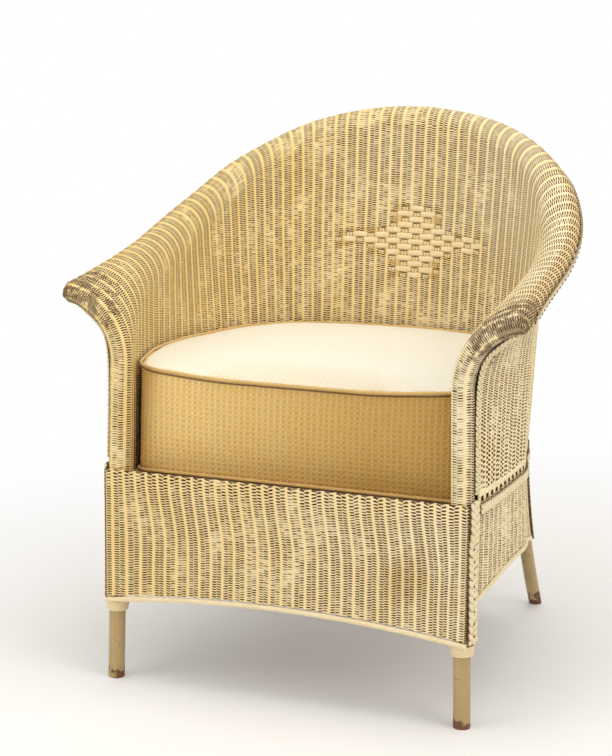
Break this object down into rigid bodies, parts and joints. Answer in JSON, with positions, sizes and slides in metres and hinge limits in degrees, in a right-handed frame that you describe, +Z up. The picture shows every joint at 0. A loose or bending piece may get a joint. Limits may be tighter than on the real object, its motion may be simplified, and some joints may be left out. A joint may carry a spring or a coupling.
{
  "type": "wicker armchair",
  "caption": "Barrel-back armchair of woven fibre on a bent pole frame, with flared arms, a diamond in the back, deep skirts and a loose D-shaped cushion.",
  "frame": {"origin": "on the floor at the middle of the chair's width and depth", "axes": "-Y is the front of the chair, +Z is up, X runs across it"},
  "size_m": [0.731, 0.6558, 0.864],
  "materials": {
    "painted_pole": "cream paint, chipped",
    "bare_wood": "unfinished",
    "painted_reed": "cream paint",
    "woven_fibre": "cream paint",
    "steel": "dull",
    "tacks": "painted over, worn",
    "burlap": "coarse",
    "cushion_cloth": "waffle weave",
    "filling": "loose",
    "piping": "cord"
  },
  "bodies": {
    "chair": {"front_post_left": "painted_pole", "front_post_right": "painted_pole", "rear_post_left": "painted_pole", "rear_post_right": "painted_pole", "rim_bow": "bare_wood", "seat_front_rail": "bare_wood", "seat_hoop": "bare_wood", "corner_block_left": "bare_wood", "corner_block_right": "bare_wood", "front_screws": "steel", "rear_screws": "steel", "woven_shell": "woven_fibre", "arm_panel_left": "woven_fibre", "arm_panel_right": "woven_fibre", "front_skirt": "woven_fibre", "side_skirt_left": "woven_fibre", "side_skirt_right": "woven_fibre", "rear_skirt": "woven_fibre", "front_reed": "painted_reed", "side_reed_left": "painted_reed", "side_reed_right": "painted_reed", "rear_reed": "painted_reed", "rim_braid": "woven_fibre", "panel_braid_left": "woven_fibre", "panel_braid_right": "woven_fibre", "corner_braid_left": "woven_fibre", "corner_braid_right": "woven_fibre", "rear_braid_left": "woven_fibre", "rear_braid_right": "woven_fibre", "seat_band_left": "woven_fibre", "seat_band_right": "woven_fibre", "leg_wrap_left": "woven_fibre", "leg_wrap_right": "woven_fibre", "braid_tacks": "tacks", "spring_slat_front": "steel", "spring_slat_middle": "steel", "spring_slat_rear": "steel", "springs_front": "steel", "springs_middle": "steel", "springs_rear": "steel", "spring_border_wire": "steel", "deck_cloth": "burlap"},
    "cushion": {"cushion_cover": "cushion_cloth", "cushion_filling": "filling", "cushion_piping_top": "piping", "cushion_piping_bottom": "piping"}
  },
  "joints": [
    {"name": "cushion_lift", "type": "slide", "parent": "chair", "child": "cushion", "axis": [0, 0, 1], "range_m": [0, 0.3]}
  ]
}
